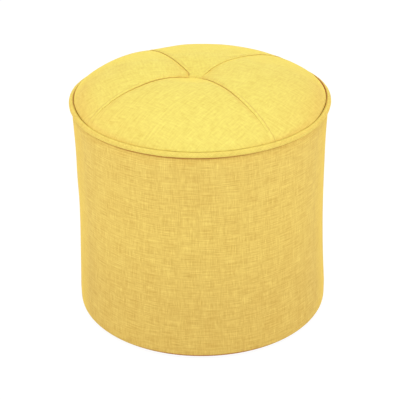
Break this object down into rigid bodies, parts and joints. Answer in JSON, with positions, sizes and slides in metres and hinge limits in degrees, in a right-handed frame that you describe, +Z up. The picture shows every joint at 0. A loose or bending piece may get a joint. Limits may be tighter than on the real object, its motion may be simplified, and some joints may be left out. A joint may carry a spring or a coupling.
{
  "type": "round upholstered pouf",
  "caption": "Low round pouf: a fabric-covered drum with a domed top of sewn quarter panels drawn down at one tuft, piping round the rim, and hidden glides.",
  "frame": {"origin": "on the floor under the middle of the drum, level with the glides' lower faces", "axes": "+Z up along the drum's axis, -Y towards the front of the picture, +X to its right"},
  "size_m": [0.407, 0.407, 0.4042],
  "materials": {
    "top_fabric": "plain slubby weave, matt",
    "side_fabric": "plain slubby weave, matt",
    "piping_fabric": "bias-cut plain weave, matt",
    "cotton_cord": "undyed",
    "polyester_wadding": "fibre wadding",
    "seat_foam_plastic": "open-cell foam",
    "wrap_foam_plastic": "open-cell foam sheet",
    "hardboard": "pressed board, satin",
    "plywood": "sanded, unfinished",
    "batten_wood": "planed softwood",
    "twine_thread": "waxed twine",
    "toggle_wood": "turned, unfinished",
    "bottom_cloth_felt": "spun-bonded cloth",
    "glide_plastic": "moulded, matt"
  },
  "bodies": {
    "root": {"top_panel_front": "top_fabric", "top_panel_right": "top_fabric", "top_panel_back": "top_fabric", "top_panel_left": "top_fabric", "side_panel": "side_fabric", "piping_cover": "piping_fabric", "piping_cord": "cotton_cord", "seat_wadding": "polyester_wadding", "seat_foam": "seat_foam_plastic", "side_foam": "wrap_foam_plastic", "drum_wall": "hardboard", "seat_board": "plywood", "base_board": "plywood", "batten_1": "batten_wood", "batten_2": "batten_wood", "batten_3": "batten_wood", "batten_4": "batten_wood", "batten_5": "batten_wood", "batten_6": "batten_wood", "tuft_twine": "twine_thread", "tuft_toggle": "toggle_wood", "bottom_cloth": "bottom_cloth_felt", "glide_1": "glide_plastic", "glide_2": "glide_plastic", "glide_3": "glide_plastic", "glide_4": "glide_plastic"}
  },
  "joints": []
}
